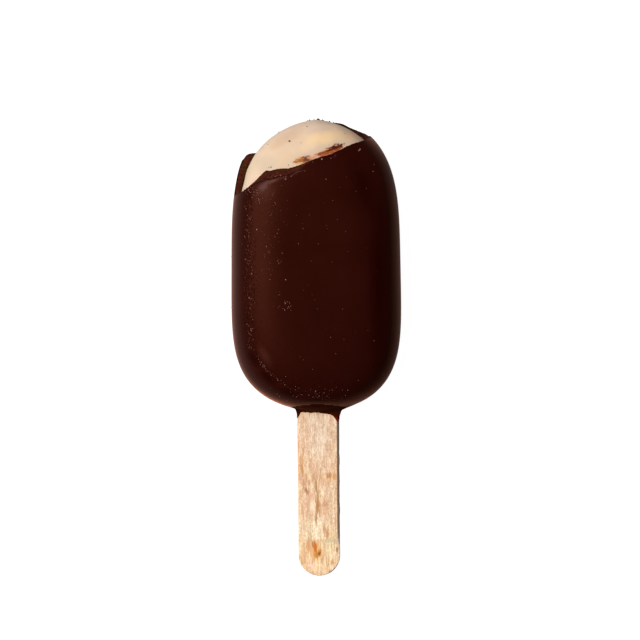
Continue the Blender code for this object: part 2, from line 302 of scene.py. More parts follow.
# The crushed edge: fibres pressed together by the stamp, duller and pinker than the sanded face.
# It is tinted on the right edge only, and there the tint is partly painted shade on that side.
from_end = add_node(wood, "ShaderNodeVectorMath",
                    {"operation": "SUBTRACT", 1: (stick_x, lower_end, 0.0)}, {0: wood_place})
below_end = add_node(wood, "ShaderNodeVectorMath", {"operation": "MINIMUM", 1: (1.0, 0.0, 0.0)},
                     {0: from_end.outputs["Vector"]})
flattened = add_node(wood, "ShaderNodeVectorMath", {"operation": "MULTIPLY", 1: (1.0, 1.0, 0.0)},
                     {0: below_end.outputs["Vector"]})
rim_distance = add_node(wood, "ShaderNodeVectorMath", {"operation": "LENGTH"},
                        {0: flattened.outputs["Vector"]})
end_parts = add_node(wood, "ShaderNodeSeparateXYZ", links={"Vector": from_end.outputs["Vector"]})
wavy_rim = add_node(wood, "ShaderNodeMath", {"operation": "MULTIPLY_ADD", 1: CRUSHED_RAGGED * MM},
                    {0: grain["fibres"], 2: rim_distance.outputs["Value"]})
edge_begins, edge_full = [(STICK_RADIUS - CRUSHED_EDGE + border) * MM for border in CRUSHED_BORDER]
side_begins, side_full = [share * STICK_RADIUS * MM for share in CRUSHED_SIDE]
crushed_edge_and_shade = tinted(wood, wood_colour, wavy_rim.outputs["Value"], edge_begins, edge_full,
                     CRUSHED_WOOD_AND_SHADE, soft=True)
crushed_edge_and_shade = tinted(wood, wood_colour, end_parts.outputs["X"], side_begins, side_full, crushed_edge_and_shade)
wood_colour = tinted(wood, wood_colour, end_parts.outputs["Y"], CRUSHED_FROM * MM,
                     (CRUSHED_FROM + CRUSHED_FADE) * MM, crushed_edge_and_shade)
wood.links.new(wood_colour, wood_surface.inputs["Base Color"])
wood_relief = add_node(wood, "ShaderNodeBump", {"Strength": 0.6, "Distance": 0.08 * MM},
                       {"Height": grain["pores"]})
wood.links.new(wood_relief.outputs["Normal"], wood_surface.inputs["Normal"])
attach(stick, "root")
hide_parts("stick")


# The ice cream: vanilla, frozen hard round the stick in a metal mould, so it is smooth with a
# soft ridge between its side wall and its face. Only its domed end shows.
OUTLINE_TAPER = 0.019
LEAN_POWER = 6
ICE_CREAM_FORM = {"width": 20.4, "top": BAR_TOP, "foot": 36.2, "run": 8.9, "rise": 11.6, "depth": 10.8,
                  "face_run": 12.0, "face_fall": 3.0, "top_power": 4.4, "foot_power": 4.45,
                  "top_bow": 1.6, "top_lean": 0.35, "foot_lean": 0.6}
FACE_EDGE = 2.2
CORE_COLUMNS = 200
CORE_ROWS = 150
SEARCH_STEPS = 34
SEARCH_REACH = 32.0
ICE_CREAM_DENT = 0.16
DENT_SIZE = 5.0


def blend_max(a, b, reach):
    """The larger of two heights, rounded over where they are close."""
    overlap = np.maximum(reach - np.abs(a - b), 0.0) / reach
    return np.maximum(a, b) + overlap * overlap * reach / 4.0


def inset_from_outline(form, x, y, grow):
    """How far a point of the plan lies inside the outline of a moulded form, in mm."""
    upper = y > 0.0
    length = np.where(upper, form["top"], form["foot"]) + grow
    power = np.where(upper, form["top_power"], form["foot_power"])
    bow = np.where(upper, form["top_bow"], 2.0)
    width = (form["width"] + grow) * (1.0 - OUTLINE_TAPER * y / length)
    along = np.minimum(np.abs(y) / length, 1.0)
    x = x - np.where(upper, form["top_lean"], form["foot_lean"]) * along ** LEAN_POWER
    across = np.minimum(np.abs(x) / width, 1.0)
    run = width * (1.0 - along ** power) ** (1.0 / bow) - np.abs(x)
    rise = length * (1.0 - across ** bow) ** (1.0 / power) - np.abs(y)
    both = run * rise / np.maximum(np.hypot(run, rise), 1e-9)
    return np.where((run <= 0.0) | (rise <= 0.0), np.minimum(run, rise), both)


def moulded(form, x, y, z, grow=0.0, soft=1.4):
    """Level of a moulded form, negative inside: a curved side wall under a pillow face."""
    run = form["run"] + grow
    rise = form["rise"] + grow
    inset = inset_from_outline(form, x, y, grow)
    reach = np.maximum(run - inset, 0.0)
    ratio = np.hypot(reach / run, z / rise)
    slope = np.maximum(np.hypot(reach / run ** 2, z / rise ** 2), 1e-9)
    fall = form["face_fall"] * (np.maximum(form["face_run"] + grow - inset, 0.0) / form["face_run"]) ** 2
    face = np.abs(z) - (form["depth"] + grow - fall)
    return blend_max(ratio * (ratio - 1.0) / slope, face, soft)


def on_surface(level, y, angle, start=0.0):
    """Points where rays from the bar's long axis, or beside it, leave a form, by halving."""
    across = np.cos(angle)
    up = np.sin(angle)
    inside = np.zeros(np.broadcast(y, angle).shape)
    outside = inside + SEARCH_REACH
    for _ in range(SEARCH_STEPS):
        middle = (inside + outside) / 2.0
        within = level(start + middle * across, y, middle * up) < 0.0
        inside = np.where(within, middle, inside)
        outside = np.where(within, outside, middle)
    return np.stack([start + inside * across, np.broadcast_to(y, inside.shape), inside * up], axis=-1)


def settle(piece, points):
    """Moves a piece's vertices to points given in mm from the middle of the bar."""
    placed = (points.reshape(-1, 3) + (0.0, BAR_Y, BAR_Z)) * MM
    piece.data.vertices.foreach_set("co", placed.ravel())
    piece.data.update()


def ice_cream_level(x, y, z):
    return moulded(ICE_CREAM_FORM, x, y, z, soft=FACE_EDGE)


bpy.ops.object.select_all(action="DESELECT")
bpy.ops.mesh.primitive_uv_sphere_add(segments=CORE_COLUMNS, ring_count=CORE_ROWS, radius=1.0)
ice_cream = bpy.context.object
ice_cream.name = "vanilla_core"
ball = np.array([point.co[:] for point in ice_cream.data.vertices])
core_y = ball[:, 2] * np.where(ball[:, 2] > 0.0, ICE_CREAM_FORM["top"], ICE_CREAM_FORM["foot"])
core_angle = np.arctan2(ball[:, 1] * ICE_CREAM_FORM["depth"], ball[:, 0] * ICE_CREAM_FORM["width"])
core_lean = np.where(core_y > 0.0, ICE_CREAM_FORM["top_lean"], ICE_CREAM_FORM["foot_lean"])
core_middle = core_lean * np.abs(ball[:, 2]) ** LEAN_POWER
core_points = on_surface(ice_cream_level, core_y, core_angle, core_middle)
dents = np.array([abs(noise.noise(Vector(point / DENT_SIZE))) for point in core_points])
core_points[:, 0::2] *= 1.0 - (dents * ICE_CREAM_DENT / ICE_CREAM_FORM["depth"])[:, None]
settle(ice_cream, core_points)
bpy.ops.object.mode_set(mode="EDIT")
bpy.ops.mesh.select_all(action="SELECT")
bpy.ops.mesh.normals_make_consistent(inside=False)
bpy.ops.object.mode_set(mode="OBJECT")
bpy.ops.object.shade_smooth()

# Vanilla ice cream, moulded and then bared: a pale warm cream that light enters a little way,
# smooth and faintly damp. It has soft cloudy patches and the finest ice grain, and melted
# chocolate is smeared along the crack where the shell was pulled off. Some patches are painted
# light and shade: darker along its upper left edge and by the gap at the left, paler along its top.
CLOUD_SIZE = 9.0
ICE_GRAIN = 0.45
SMEAR_SIZE = (1.1, 0.26)
SMEAR_TURN = 18.0
CREAM_CLOUDS_AND_PAINTED_LIGHT = (
    # The first, second and last patches are painted shade along the upper left edge and by the gap; the
    # third is painted light along the top; the others are cloudy tone.
    ((-14.0, 27.0), (5.0, 4.4), -40.0, "#bba78e", 0.75),
    ((-7.4, 33.8), (10.0, 3.0), 33.0, "#c0a186", 0.85),
    ((3.8, 37.0), (9.0, 2.6), -8.0, "#f2cda6", 0.9),
    ((10.6, 33.8), (4.6, 3.0), -38.0, "#e6b48a", 0.85),
    ((2.2, 33.4), (8.2, 3.2), 14.0, "#e4c296", 0.9),
    ((-2.0, 30.8), (5.2, 2.4), 20.0, "#dcc09c", 0.7),
    ((-16.6, 25.6), (1.6, 3.2), -28.0, "#c0b48c", 0.6),
)
CREAM_STAINS = (
    ((-3.0, 27.4), (2.6, 0.9), 12.0, "#c27e26", 0.85),
    ((-2.3, 27.5), (1.7, 1.0), 15.0, "#863e08", 1.0),
    ((-2.0, 27.7), (1.0, 0.7), 15.0, "#4a1c02", 1.0),
    ((-4.2, 27.2), (1.4, 0.4), 16.0, "#9a5c1c", 0.9),
    ((0.4, 28.4), (2.8, 0.65), 14.0, "#d0946e", 0.8),
    ((3.0, 29.1), (2.6, 0.9), 18.0, "#ac5630", 0.9),
    ((1.4, 28.8), (1.6, 0.25), 24.0, "#8c4620", 0.7),
    ((2.6, 29.45), (2.4, 0.32), 22.0, "#7c3814", 0.95),
    ((3.2, 28.95), (1.8, 0.22), 22.0, "#8a3f1a", 0.8),
    ((4.5, 29.8), (2.8, 1.05), 21.0, "#9a4618", 0.95),
    ((5.6, 30.0), (1.8, 0.75), 22.0, "#a45a34", 0.9),
    ((5.2, 30.4), (2.6, 0.9), 18.0, "#94481c", 0.9),
    ((4.5, 30.15), (1.7, 0.38), 24.0, "#5c2408", 1.0),
    ((5.5, 30.7), (2.2, 0.56), 17.0, "#481a04", 1.0),
)

cream, cream_surface = new_finish(
    ice_cream, "moulded_vanilla_ice_cream",
    {"Roughness": 0.5, "IOR": 1.35, "Specular IOR Level": 0.25, "Subsurface Weight": 0.15,
     "Subsurface Radius": (1.0, 0.7, 0.45), "Subsurface Scale": 0.6 * MM})
cream_place = add_node(cream, "ShaderNodeTexCoord").outputs["Object"]
clouds = add_node(cream, "ShaderNodeTexNoise",
                  {"Scale": 1.0 / CLOUD_SIZE / MM, "Detail": 4.0, "Roughness": 0.55},
                  {"Vector": cream_place}).outputs["Fac"]
smear_place = add_node(cream, "ShaderNodeMapping",
                       {"vector_type": "TEXTURE", "Rotation": (0.0, 0.0, math.radians(SMEAR_TURN)),
                        "Scale": (SMEAR_SIZE[0] * MM, SMEAR_SIZE[1] * MM, SMEAR_SIZE[1] * MM)},
                       {"Vector": cream_place})
smeared = add_node(cream, "ShaderNodeTexNoise", {"Scale": 1.0, "Detail": 3.0, "Roughness": 0.6},
                   {"Vector": smear_place.outputs["Vector"]}).outputs["Fac"]
core_face = BAR_Z + ICE_CREAM_FORM["depth"]
cream_colour = tinted(cream, "#cbb09b", clouds, 0.35, 0.65, "#cfb496")
cream_colour = stained(cream, cream_colour, cream_place, clouds, CREAM_CLOUDS_AND_PAINTED_LIGHT, core_face,
                       ICE_CREAM_FORM["depth"], edge=(1.4, 0.15, -0.55))
cream_colour = stained(cream, cream_colour, cream_place, smeared, CREAM_STAINS, core_face,
                       ICE_CREAM_FORM["depth"], edge=(2.6, -0.1, -0.75))
cream.links.new(cream_colour, cream_surface.inputs["Base Color"])
ice_grain = add_node(cream, "ShaderNodeTexNoise",
                     {"Scale": 1.0 / ICE_GRAIN / MM, "Detail": 3.0, "Roughness": 0.6},
                     {"Vector": cream_place})
cream_relief = add_node(cream, "ShaderNodeBump", {"Strength": 0.35, "Distance": 0.05 * MM},
                        {"Height": ice_grain.outputs["Fac"]})
cream.links.new(cream_relief.outputs["Normal"], cream_surface.inputs["Normal"])
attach(ice_cream, "root")
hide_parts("ice_cream")


# The chocolate shell: dark couverture 1.7 mm thick that set on the cold bar as it was lifted out
# of the dip. It ran a little way down the stick, and its top has been cracked away, lowest at
# the front left, where a flake has also sprung off the edge.
SHELL_FORM = {"width": 22.4, "top": 40.0, "foot": 38.5, "run": 9.5, "rise": 13.2, "depth": 12.5,
              "face_run": 14.0, "face_fall": 3.2, "top_power": 3.78, "foot_power": 4.45,
              "top_bow": 2.0, "top_lean": 0.0, "foot_lean": 0.6}
SHELL_GAP = 0.2
SHOULDER_SWELL = 0.42
SHOULDER_AT = 28.5
SHOULDER_SPAN = 5.0
BACK_FLAT = 12.2
SLEEVE_TOP = 37.3
SLEEVE_LENGTH = 3.0
SLEEVE_WALL = (0.16, 0.14)
SLEEVE_CORNER = 0.4
SLEEVE_SIDES_BLEND = 4.0
FLARE_FROM = 39.6
FLARE_LENGTH = 3.5
FLARE_SLOPE = 0.32
FLARE_LEAN = 0.5
FILLET = 2.2
FILLET_MORE_RIGHT = 1.4
SLOT_BITE = 0.05
SLOT_CORNER = 0.3
FRONT_SLEEVE = ((-5.5, -40.3), (-4.9, -40.2), (-4.6, -39.8), (-4.2, -39.0), (-3.8, -38.75),
                (-2.3, -38.65), (-1.4, -39.0), (-0.3, -38.75), (0.7, -38.95), (2.0, -39.15),
                (3.3, -39.45), (4.1, -39.95), (4.6, -40.8), (5.0, -41.4), (5.4, -40.9), (5.9, -40.6))
BACK_SLEEVE = ((-5.5, -40.3), (-4.4, -39.6), (-2.4, -39.2), (0.2, -39.5), (2.4, -39.2), (4.3, -39.8),
               (5.9, -40.6))
SLEEVE_CHIPS = 0.3
SLEEVE_CHIP_SIZE = 0.55
COLLAR_TOP = -36.5
COLLAR_HALF_WIDTH = 8.6
COLLAR_DROOP = 1.2
BROKEN_FROM = 12.0
FRONT_BREAK = ((-22.0, 18.2), (-19.41, 19.17), (-17.04, 20.85), (-15.73, 22.01), (-14.41, 23.31),
               (-13.36, 24.34), (-12.83, 24.73), (-11.79, 24.59), (-10.48, 24.89), (-9.18, 25.14),
               (-7.09, 25.12), (-5.78, 25.45), (-3.95, 26.01), (-2.37, 26.65), (-0.8, 27.32),
               (1.29, 28.0), (4.17, 28.76), (6.79, 30.04), (9.67, 31.45), (12.55, 32.34),
               (15.5, 34.2), (22.0, 36.0))
FLAKE_DEPTHS = ((-19.6, 0.05), (-17.0, 0.4), (-15.7, 0.95), (-14.4, 1.75), (-13.9, 2.35),
                (-12.8, 2.65), (-10.2, 2.4), (-8.4, 2.2), (-6.6, 1.8), (-4.0, 1.3), (-2.4, 0.6),
                (-0.8, 0.3), (1.3, 0.15), (22.0, 0.15))
BACK_BREAK = ((-22.0, 26.0), (-19.4, 28.0), (-18.9, 28.7), (-18.4, 29.5), (-17.9, 29.9),
              (-17.3, 30.2), (-15.9, 30.5), (-8.0, 34.4), (0.0, 37.2), (5.6, 38.3), (7.5, 37.9),
              (9.2, 37.0), (11.3, 36.05), (13.3, 35.1), (14.3, 34.4), (15.5, 33.8), (22.0, 31.0))
NO_FLAKE = ((-22.0, 0.0), (22.0, 0.0))
FRONT_COLUMNS = 280
STEP_COLUMNS = 24
STEP_ANGLE = 0.1
BACK_COLUMNS = 110
LAST_BACK_ANGLE = 0.02
SLEEVE_ROWS = 14
BODY_ROWS = 56
BROKEN_ROWS = 50
CRACK_ROWS = 8
INNER_ROWS = 14
CROWDED_ROWS = 1.45
CRACK_STEP = 0.05
CRACK_CHIPS = 0.12
CRACK_CHIP_SIZE = 0.9
CRACK_ROUGHNESS = 0.22
CRACK_LUMPS = ((0.8, 1.0), (0.35, 0.6))
CRACK_LIFT = np.array((-0.7, 0.7))
SEAM_GAP = 0.002
SHELL_CREASE = 40.0


def stick_slot(x, z, half_width, half_depth, corner):
    """Level of a long bar with rounded corners along the stick."""
    over_x = np.abs(x - stick_x / MM) - (half_width - corner)
    over_z = np.abs(z) - (half_depth - corner)
    outside = np.hypot(np.maximum(over_x, 0.0), np.maximum(over_z, 0.0))
    return outside + np.minimum(np.maximum(over_x, over_z), 0.0) - corner


def shell_outside(x, y, z):
    """The dipped form, run onto the stick through a fillet that is wider on the right."""
    from_shoulder = (y - SHOULDER_AT) / SHOULDER_SPAN
    fuller = 1.0 + SHOULDER_SWELL / SHELL_FORM["width"] * np.exp(-from_shoulder ** 2)
    body = moulded(SHELL_FORM, np.where(x < 0.0, x / fuller, x), y, z)
    rightward = np.tanh(x / SLEEVE_SIDES_BLEND)
    flare = FLARE_SLOPE * np.clip(y + FLARE_FROM + FLARE_LEAN * rightward, 0.0, FLARE_LENGTH)
    sleeve = stick_slot(x, z, STICK_RADIUS + SLEEVE_WALL[0] + flare,
                        STICK_DEPTH / 2.0 + SLEEVE_WALL[1] + flare, SLEEVE_CORNER)
    joined = -blend_max(-body, -sleeve, FILLET + FILLET_MORE_RIGHT * rightward)
    return np.maximum(np.where(y < 0.0, joined, body), -z - BACK_FLAT)


def shell_inside(x, y, z):
    """The hollow that the ice cream fills, and the slot round the stick."""
    hollow = moulded(ICE_CREAM_FORM, x, y, z, grow=SHELL_GAP)
    slot = stick_slot(x, z, STICK_RADIUS - SLOT_BITE, STICK_DEPTH / 2.0 - SLOT_BITE, SLOT_CORNER)
    return np.where(y < 0.0, np.minimum(hollow, slot), hollow)


def crack_line(x, line, flake):
    """Height of a crack line, less the depth of the flake that sprang off below it."""
    return np.interp(x, *zip(*line)) - np.interp(x, *zip(*flake))


def crack_height(level, angles, line, flake):
    """Height at which each column of the shell first meets a crack line."""
    found = np.full(angles.shape, SHELL_FORM["foot"])
    for y in np.arange(SHELL_FORM["foot"], BROKEN_FROM, -CRACK_STEP):
        x = on_surface(level, y, angles)[..., 0]
        found = np.where(y >= crack_line(x, line, flake), y, found)
    return found


def spread(low, high, count):
    """Angles of evenly spaced columns, closest together at the bar's narrow sides."""
    turn = np.linspace(low, high, count)
    flat = np.arctan2(SHELL_FORM["depth"] * np.sin(turn), SHELL_FORM["width"] * np.cos(turn))
    return np.where(flat < -1e-9, flat + 2.0 * np.pi, flat)


def body_height(turn, low):
    """Height of a row between a low end and the broken part, rows crowding at the low end."""
    return BROKEN_FROM - (BROKEN_FROM + low) * math.sin(turn * CROWDED_ROWS) / math.sin(CROWDED_ROWS)


front_angles = spread(0.0, math.pi - STEP_ANGLE, FRONT_COLUMNS)
back_angles = spread(math.pi, 2.0 * math.pi - LAST_BACK_ANGLE, BACK_COLUMNS)
step_share = np.linspace(0.0, 1.0, STEP_COLUMNS + 2)[1:-1]
step_angles = front_angles[-1] + (back_angles[0] - front_angles[-1]) * step_share
angles = np.concatenate([front_angles, step_angles, back_angles, [2.0 * math.pi]])
chips = np.array([noise.noise(Vector((angle * SHELL_FORM["width"] / CRACK_CHIP_SIZE, 2.0, 5.0)))
                  for angle in angles]) * CRACK_CHIPS
cracks = []
for level, flake in ((shell_outside, FLAKE_DEPTHS), (shell_inside, NO_FLAKE)):
    crack = np.concatenate([crack_height(level, front_angles, FRONT_BREAK, flake), step_share * 0.0,
                            crack_height(level, back_angles, BACK_BREAK, NO_FLAKE), [0.0]])
    before = crack[FRONT_COLUMNS - 1]
    after = crack[FRONT_COLUMNS + STEP_COLUMNS]
    crack[FRONT_COLUMNS:FRONT_COLUMNS + STEP_COLUMNS] = before + (after - before) * step_share
    crack += chips
    crack[-1] = crack[0]
    cracks.append(crack)
outer_crack, inner_crack = cracks
behind = np.arange(len(angles)) >= FRONT_COLUMNS
inner_crack = np.where(behind, np.minimum(inner_crack, outer_crack), inner_crack)

slot_x = on_surface(shell_inside, -SLEEVE_TOP - SLEEVE_LENGTH, angles)[:, 0]
sleeve_edge = np.where(angles <= math.pi, np.interp(slot_x, *zip(*FRONT_SLEEVE)),
                       np.interp(slot_x, *zip(*BACK_SLEEVE)))
sleeve_edge += [SLEEVE_CHIPS * noise.noise(Vector((x / SLEEVE_CHIP_SIZE, 1.0, 4.0))) for x in slot_x]
rows = []
for share in np.linspace(0.0, 1.0, SLEEVE_ROWS + 1):
    rows.append(on_surface(shell_outside, sleeve_edge * (1.0 - share) - SLEEVE_TOP * share, angles))
for turn in np.linspace(1.0, 0.0, BODY_ROWS + 1)[1:]:
    rows.append(on_surface(shell_outside, np.full(angles.shape, body_height(turn, SLEEVE_TOP)), angles))
for share in np.sin(np.linspace(0.0, 1.0, BROKEN_ROWS + 1)[1:] * math.pi / 2.0):
    rows.append(on_surface(shell_outside, BROKEN_FROM + (outer_crack - BROKEN_FROM) * share, angles))
inner_rows = []
for share in np.sin(np.linspace(0.0, 1.0, INNER_ROWS + 1) * math.pi / 2.0):
    inner_rows.append(on_surface(shell_inside, BROKEN_FROM + (inner_crack - BROKEN_FROM) * share,
                                 angles))
outer_edge = rows[-1]
for share in np.linspace(0.0, 1.0, CRACK_ROWS + 2)[1:-1]:
    face = outer_edge * (1.0 - share) + inner_rows[-1] * share
    for point in face:
        lift = sum(weight * noise.noise(Vector(point / size)) for size, weight in CRACK_LUMPS)
        point[1:] += CRACK_ROUGHNESS * lift * math.sin(math.pi * share) * CRACK_LIFT
    face[-1] = face[0]
    rows.append(face)
rows += inner_rows[::-1]
for turn in np.linspace(0.0, 1.0, INNER_ROWS + 1)[1:]:
    y = body_height(turn, ICE_CREAM_FORM["foot"])
    rows.append(on_surface(shell_inside, np.full(angles.shape, y), angles))
rows.append(on_surface(shell_inside, sleeve_edge, angles))
rows.append(rows[0])
shell_points = np.stack(rows)
crack_depth = np.zeros(len(rows))
first_cracked = SLEEVE_ROWS + BODY_ROWS + BROKEN_ROWS
crack_depth[first_cracked:first_cracked + CRACK_ROWS + 2] = np.linspace(0.0, 1.0, CRACK_ROWS + 2)
crack_depth[first_cracked + CRACK_ROWS + 2:-1] = 1.0

bpy.ops.object.select_all(action="DESELECT")
bpy.ops.mesh.primitive_grid_add(x_subdivisions=shell_points.shape[1] - 1,
                                y_subdivisions=shell_points.shape[0] - 1)
shell = bpy.context.object
shell.name = "chocolate_shell"
settle(shell, shell_points)
depth_layer = shell.data.attributes.new("crack_depth", "FLOAT", "POINT")
depth_layer.data.foreach_set("value", np.repeat(crack_depth, shell_points.shape[1]))
columns = shell_points.shape[1] - 1
for face in shell.data.polygons:
    row = face.index // columns
    collar_edge = COLLAR_TOP - COLLAR_DROOP * (face.center.x / MM / COLLAR_HALF_WIDTH) ** 2
    in_collar = face.center.y < (BAR_Y + collar_edge) * MM
    if first_cracked <= row <= first_cracked + CRACK_ROWS:
        face.material_index = 1
    elif in_collar:
        face.material_index = 2
bpy.ops.object.mode_set(mode="EDIT")
bpy.ops.mesh.select_all(action="SELECT")
bpy.ops.mesh.remove_doubles(threshold=SEAM_GAP * MM)
bpy.ops.mesh.normals_make_consistent(inside=False)
bpy.ops.object.mode_set(mode="OBJECT")
bpy.ops.object.shade_smooth_by_angle(angle=math.radians(SHELL_CREASE))

# Dark couverture set against frozen ice cream: near black brown with a low satin gloss. Its colour
# has painted light and shade: paler where highlights and reflections are painted on, and darker
# where shade and dark reflections are painted on. Its sheen is painted stronger on the lower left
# side and weaker at the upper right. Real pinholes are about 0.1 mm across; they are drawn a little
# coarser, or they would not show, and are darkened as painted shade.
PINHOLE_SPACING = 0.64
TONE_SIZE = 14.0
RIPPLE_SIZE = 1.2
PAINTED_HIGHLIGHTS_AND_SHADE = (
    # A painted highlight on the lip below the flake, in four soft arcs.
    ((-12.6, 19.0), (3.6, 4.2), -40.0, "#371a14", 0.8),
    ((-13.4, 20.5), (1.6, 3.6), -48.0, "#523a37", 0.9),
    ((-11.0, 21.8), (0.8, 3.0), -72.0, "#583732", 0.8),
    ((-8.6, 22.6), (0.5, 2.0), -82.0, "#472620", 0.6),
    # A painted light reflection low on the left shoulder.
    ((-13.6, -23.4), (1.9, 5.2), 30.0, "#3b1a14", 0.9),
    # A painted dark reflection along the lower left shoulder and the bottom.
    ((-16.8, -24.3), (1.8, 4.8), 33.0, "#190200", 0.95),
    ((-12.8, -29.4), (1.9, 4.4), 45.0, "#190200", 0.95),
    ((-7.6, -33.5), (1.7, 4.6), 64.0, "#190200", 0.95),
    ((-0.6, -35.7), (1.2, 5.4), 87.0, "#1a0300", 0.85),
    # Painted shade over the right of the face and its upper right.
    ((16.4, -6.0), (4.6, 34.0), 0.0, "#190100", 0.9),
    ((12.6, 20.0), (4.6, 13.0), 20.0, "#1b0200", 0.8),
    # A painted sheen at the right end of the rim.
    ((13.5, 33.2), (0.8, 1.9), 42.0, "#4e3a2c", 0.6),
    # A small lighter mauve mark below the rim.
    ((5.2, 28.3), (0.4, 0.9), -20.0, "#482630", 0.6),
)
FACE_MARK_DEPTH = 14.0
SOFT_MARK_EDGE = (0.3, 0.8, -0.2)
# Painted sheen: full on the lower left side, weak at the upper right.
PAINTED_SHEEN_PATCHES = (
    ((-22.3, -19.0), (3.0, 11.0), 3.0, "#ffffff", 1.0),
    ((19.6, 25.5), (4.6, 13.0), 22.0, "#787878", 1.0),
)
PAINTED_SHEEN_DEPTH = 20.0
SCUFFS_AND_UNDERCUT_SHADE = (
    ((-5.2, 23.8), (0.2, 2.4), -55.0, "#5c362f", 0.6),
    ((-4.0, 24.2), (0.18, 1.8), -75.0, "#58342d", 0.5),
    ((-7.6, 22.9), (0.2, 1.6), -30.0, "#5f362e", 0.7),
    # Two dark lines under the flake's lip: painted shade.
    ((-13.3, 21.95), (0.3, 1.2), -62.0, "#160401", 0.95),
    ((-11.4, 22.5), (0.24, 1.9), -82.0, "#160401", 0.9),
)
# Dark colour inside the pinholes: painted shade, strongest in a strip on the left shoulder.
PINHOLE_SHADE_PATCHES = (
    ((-17.5, -2.5), (2.0, 24.0), 1.0, "#080000", 1.0),
    ((-15.6, 18.2), (1.8, 3.0), 30.0, "#140201", 0.9),
    ((-11.2, 11.0), (1.7, 11.0), -5.0, "#180302", 0.7),
    ((-1.0, -33.4), (10.5, 2.6), 0.0, "#120100", 0.8),
    ((0.0, 0.0), (30.0, 42.0), 0.0, "#180302", 0.15),
)
RIGHT_THROUGH = 60.0
PIT_STRIP = ((-17.3, -1.0), (2.0, 25.0))
PIT_DEPTH = 0.12

dark, dark_surface = new_finish(
    shell, "set_dark_couverture",
    {"Roughness": 0.3, "IOR": 1.45, "Specular IOR Level": 0.05, "Specular Tint": srgb("#ff9470"),
     "Sheen Roughness": 0.3, "Sheen Tint": srgb("#ff9a74")})
dark_place = add_node(dark, "ShaderNodeTexCoord").outputs["Object"]
tone = add_node(dark, "ShaderNodeTexNoise",
                {"Scale": 1.0 / TONE_SIZE / MM, "Detail": 3.0, "Roughness": 0.55},
                {"Vector": dark_place}).outputs["Fac"]
ripple = add_node(dark, "ShaderNodeTexNoise",
                  {"Scale": 1.0 / RIPPLE_SIZE / MM, "Detail": 3.0, "Roughness": 0.6},
                  {"Vector": dark_place}).outputs["Fac"]
pinholes = add_node(dark, "ShaderNodeTexVoronoi", {"Scale": 1.0 / PINHOLE_SPACING / MM},
                    {"Vector": dark_place})
pinhole_share = add_node(dark, "ShaderNodeMapRange",
                         {"From Min": 0.34, "From Max": 0.2, "To Min": -0.12, "To Max": 1.0},
                         {"Value": pinholes.outputs["Distance"]}).outputs["Result"]
shell_face = BAR_Z + SHELL_FORM["depth"]
dark_colour = tinted(dark, "#250703", tone, 0.38, 0.62, "#290905")
dark_colour = stained(dark, dark_colour, dark_place, ripple, PAINTED_HIGHLIGHTS_AND_SHADE, shell_face, FACE_MARK_DEPTH,
                      SOFT_MARK_EDGE)
dark_colour = stained(dark, dark_colour, dark_place, ripple, SCUFFS_AND_UNDERCUT_SHADE, shell_face, FACE_MARK_DEPTH)
dark_colour = stained(dark, dark_colour, dark_place, pinhole_share, PINHOLE_SHADE_PATCHES, BAR_Z,
                      RIGHT_THROUGH)
dark.links.new(dark_colour, dark_surface.inputs["Base Color"])
# Sheen weight, a little uneven, with the painted sheen patches laid over it.
painted_sheen_weight = tinted(dark, "#d6d6d6", tone, 0.38, 0.62, "#dedede")
painted_sheen_weight = stained(dark, painted_sheen_weight, dark_place, ripple, PAINTED_SHEEN_PATCHES, BAR_Z, PAINTED_SHEEN_DEPTH, SOFT_MARK_EDGE)
dark.links.new(painted_sheen_weight, dark_surface.inputs["Sheen Weight"])
dark_relief = add_node(dark, "ShaderNodeBump", {"Strength": 0.25, "Distance": 0.04 * MM},
                       {"Height": ripple})
(strip_x, strip_y), (strip_width, strip_length) = PIT_STRIP
strip_place = add_node(dark, "ShaderNodeMapping",
                       {"vector_type": "TEXTURE",
                        "Location": (strip_x * MM, (BAR_Y + strip_y) * MM, BAR_Z * MM),
                        "Scale": (strip_width * MM, strip_length * MM, RIGHT_THROUGH * MM)},
                       {"Vector": dark_place})
strip_distance = add_node(dark, "ShaderNodeVectorMath", {"operation": "LENGTH"},
                          {0: strip_place.outputs["Vector"]})
pit_strength = add_node(dark, "ShaderNodeMapRange", {"From Min": 1.0, "From Max": 0.5},
                        {"Value": strip_distance.outputs["Value"]})
pits = add_node(dark, "ShaderNodeBump", {"Distance": -PIT_DEPTH * MM},
                {"Height": pinhole_share, "Strength": pit_strength.outputs["Result"],
                 "Normal": dark_relief.outputs["Normal"]})
dark.links.new(pits.outputs["Normal"], dark_surface.inputs["Normal"])

# The same couverture where it snapped: matt and granular, reddish brown with olive streaks. Its
# outer edge is painted dark as a line of shade, and its inner edge darker olive as painted shade
# of the crevice by the ice cream.
SNAP_GRAIN = 0.7
SNAP_STREAK = 3.5
snap, snap_surface = new_finish(
    shell, "snapped_couverture", {"Roughness": 0.8, "Specular IOR Level": 0.05})
snap_place = add_node(snap, "ShaderNodeTexCoord").outputs["Object"]
grains = add_node(snap, "ShaderNodeTexNoise",
                  {"Scale": 1.0 / SNAP_GRAIN / MM, "Detail": 4.0, "Roughness": 0.65},
                  {"Vector": snap_place}).outputs["Fac"]
streaks = add_node(snap, "ShaderNodeTexNoise", {"Scale": 1.0 / SNAP_STREAK / MM, "Detail": 2.0},
                   {"Vector": snap_place}).outputs["Fac"]
crack_reach = add_node(snap, "ShaderNodeAttribute", {"attribute_name": "crack_depth"}).outputs["Fac"]
reddish = tinted(snap, "#240904", grains, 0.35, 0.65, "#4f1d11")
olive = tinted(snap, "#281205", grains, 0.35, 0.65, "#49290f")
snap_colour = tinted(snap, reddish, streaks, 0.5, 0.64, olive)
# Darker olive along the inner edge: painted shade.
snap_colour = tinted(snap, snap_colour, crack_reach, 0.7, 0.85, "#331803", soft=True)
